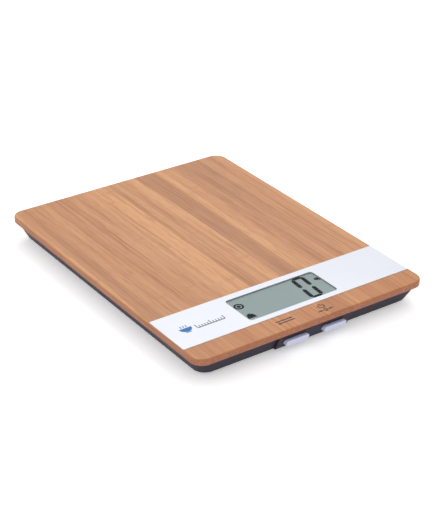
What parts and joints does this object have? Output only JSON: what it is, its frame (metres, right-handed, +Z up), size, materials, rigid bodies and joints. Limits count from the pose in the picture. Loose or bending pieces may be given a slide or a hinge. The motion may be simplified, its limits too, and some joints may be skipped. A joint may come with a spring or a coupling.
{
  "type": "kitchen scale",
  "caption": "Flat digital kitchen scale: bamboo weighing platform with a white display strip, dark tapered tray, two front push buttons and four load-sensing feet.",
  "frame": {"origin": "centre of the footprint, on the surface the feet stand on", "axes": "+X to the user's right, +Y away from the user (display and buttons at the -Y end), +Z up"},
  "size_m": [0.175, 0.2309, 0.0174],
  "materials": {
    "bamboo": "satin oiled vertical-strip bamboo",
    "white_lacquer": "satin white lacquer",
    "clear_pane": "clear polished",
    "lcd_glass": "grey-green reflective display",
    "inner_plastic": "moulded, matt",
    "contact_rubber": "matt",
    "board_laminate": "green solder mask",
    "chip_resin": "glossy cast resin",
    "switch_plastic": "moulded, matt",
    "switch_plunger": "moulded, matt",
    "button_plastic": "silver-grey, semi-gloss",
    "tray_plastic": "dark charcoal, fine moulded texture",
    "door_plastic": "dark charcoal, fine moulded texture",
    "cell_steel": "nickel-plated",
    "contact_metal": "nickel-plated spring strip",
    "screw_steel": "zinc-plated",
    "sensor_steel": "stamped, satin",
    "gauge_film": "polymer film under clear sealant",
    "foot_plastic": "moulded, matt",
    "pad_rubber": "matt rubber",
    "lead_cover": "flexible insulation"
  },
  "bodies": {
    "housing": {"base_tray": "tray_plastic", "board_screws": "screw_steel", "chip_cover": "chip_resin", "circuit_board": "board_laminate", "coin_cell": "cell_steel", "contact_strip": "contact_rubber", "display_pane": "clear_pane", "display_panel": "white_lacquer", "front_left_foot": "foot_plastic", "front_left_foot_pad": "pad_rubber", "front_left_load_sensor": "sensor_steel", "front_left_sensor_lead": "lead_cover", "front_left_strain_gauge": "gauge_film", "front_right_foot": "foot_plastic", "front_right_foot_pad": "pad_rubber", "front_right_load_sensor": "sensor_steel", "front_right_sensor_lead": "lead_cover", "front_right_strain_gauge": "gauge_film", "lcd_frame": "inner_plastic", "lcd_glass": "lcd_glass", "left_battery_lead": "lead_cover", "left_switch": "switch_plastic", "negative_contact": "contact_metal", "platform_screws": "screw_steel", "positive_contact": "contact_metal", "rear_left_foot": "foot_plastic", "rear_left_foot_pad": "pad_rubber", "rear_left_load_sensor": "sensor_steel", "rear_left_sensor_lead": "lead_cover", "rear_left_strain_gauge": "gauge_film", "rear_right_foot": "foot_plastic", "rear_right_foot_pad": "pad_rubber", "rear_right_load_sensor": "sensor_steel", "rear_right_sensor_lead": "lead_cover", "rear_right_strain_gauge": "gauge_film", "right_battery_lead": "lead_cover", "right_switch": "switch_plastic", "sensor_screws": "screw_steel", "weighing_platform": "bamboo"},
    "battery_door": {"battery_door": "door_plastic"},
    "left_button": {"left_button": "button_plastic"},
    "right_button": {"right_button": "button_plastic"},
    "left_plunger": {"left_switch_plunger": "switch_plunger"},
    "right_plunger": {"right_switch_plunger": "switch_plunger"}
  },
  "joints": [
    {"name": "left_button_press", "type": "slide", "parent": "housing", "child": "left_button", "axis": [0, 1, 0], "range_m": [0, 0.0005], "stiffness_N_per_m": 2500, "springref_m": -0.0001},
    {"name": "right_button_press", "type": "slide", "parent": "housing", "child": "right_button", "axis": [0, 1, 0], "range_m": [0, 0.0005], "stiffness_N_per_m": 2500, "springref_m": -0.0001},
    {"name": "left_plunger_press", "type": "slide", "parent": "housing", "child": "left_plunger", "axis": [0, 1, 0], "range_m": [0, 0.0005]},
    {"name": "right_plunger_press", "type": "slide", "parent": "housing", "child": "right_plunger", "axis": [0, 1, 0], "range_m": [0, 0.0005]},
    {"name": "battery_door_open", "type": "hinge", "parent": "housing", "child": "battery_door", "pos_m": [0, -0.0065, 0.0026], "axis": [-1, 0, 0], "range_deg": [0, 75]}
  ],
  "couplings": [
    {"joint": "left_plunger_press", "follows": "left_button_press", "ratio": 1},
    {"joint": "right_plunger_press", "follows": "right_button_press", "ratio": 1}
  ]
}
